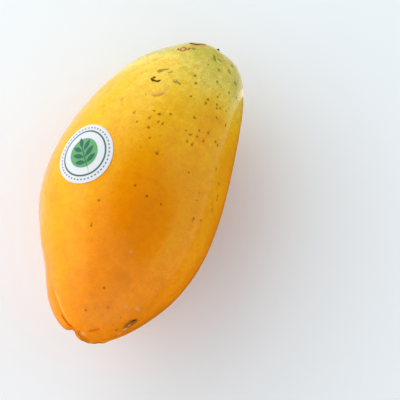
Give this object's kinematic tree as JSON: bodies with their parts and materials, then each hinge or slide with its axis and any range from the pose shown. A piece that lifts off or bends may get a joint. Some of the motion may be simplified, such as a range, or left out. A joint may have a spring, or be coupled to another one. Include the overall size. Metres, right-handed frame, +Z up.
{
  "type": "papaya",
  "caption": "Ripe whole papaya lying on its side, an elongated lobed fruit with the dry cut stub of its stem and a small blank-faced oval paper label.",
  "frame": {"origin": "middle of the flat spot on the underside of the fruit, on which it rests, under its centre of mass", "axes": "+Z up, +Y along the fruit towards its stem end, +X across the fruit; the blossom end is at -Y"},
  "size_m": [0.0914, 0.166, 0.0901],
  "materials": {
    "papaya_skin": "smooth waxy fruit skin with a soft gloss, golden orange with a green tinge at the stem end and small dark specks",
    "dry_stem": "dry fibrous cut stem, matte grey brown",
    "label_paper": "smooth coated paper with a plain green printed pattern"
  },
  "bodies": {
    "root": {"fruit": "papaya_skin", "stem_stub": "dry_stem", "label": "label_paper"}
  },
  "joints": []
}
